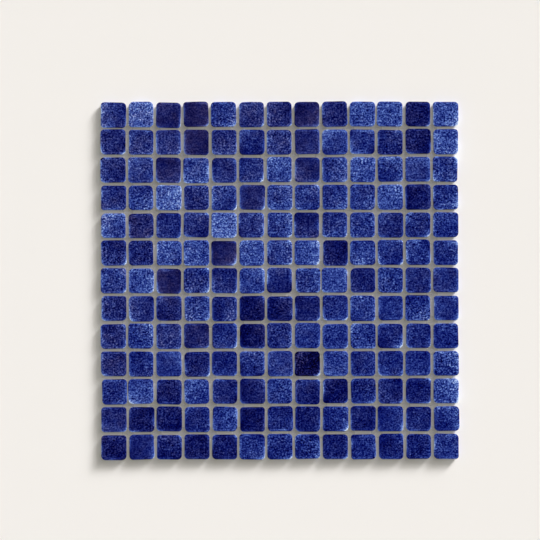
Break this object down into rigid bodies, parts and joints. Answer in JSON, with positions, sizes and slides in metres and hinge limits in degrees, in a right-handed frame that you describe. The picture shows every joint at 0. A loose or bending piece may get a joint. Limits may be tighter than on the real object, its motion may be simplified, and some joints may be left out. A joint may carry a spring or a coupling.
{
  "type": "mosaic tile sheet",
  "caption": "Square sheet of small glass mosaic tiles with open joints, held together by plastic dots on the backs, for setting in adhesive on a wall or floor.",
  "frame": {"origin": "middle of the sheet's outline, on the plane that the undersides of the dots rest on", "axes": "+X along the rows of tiles, +Y up the columns, +Z out of the tiles' faces, away from the wall or floor that the sheet is set on"},
  "size_m": [0.3315, 0.3315, 0.0047],
  "materials": {
    "cobalt_glass": "gloss, opaque, with fine pale grains in deep cobalt",
    "bond_plastic": "satin, clear and a little milky"
  },
  "bodies": {
    "root": {"glass_tiles_row_01": "cobalt_glass", "glass_tiles_row_02": "cobalt_glass", "glass_tiles_row_03": "cobalt_glass", "glass_tiles_row_04": "cobalt_glass", "glass_tiles_row_05": "cobalt_glass", "glass_tiles_row_06": "cobalt_glass", "glass_tiles_row_07": "cobalt_glass", "glass_tiles_row_08": "cobalt_glass", "glass_tiles_row_09": "cobalt_glass", "glass_tiles_row_10": "cobalt_glass", "glass_tiles_row_11": "cobalt_glass", "glass_tiles_row_12": "cobalt_glass", "glass_tiles_row_13": "cobalt_glass", "bond_dots_line_01": "bond_plastic", "bond_dots_line_02": "bond_plastic", "bond_dots_line_03": "bond_plastic", "bond_dots_line_04": "bond_plastic", "bond_dots_line_05": "bond_plastic", "bond_dots_line_06": "bond_plastic", "bond_dots_line_07": "bond_plastic", "bond_dots_line_08": "bond_plastic", "bond_dots_line_09": "bond_plastic", "bond_dots_line_10": "bond_plastic", "bond_dots_line_11": "bond_plastic", "bond_dots_line_12": "bond_plastic"}
  },
  "joints": []
}
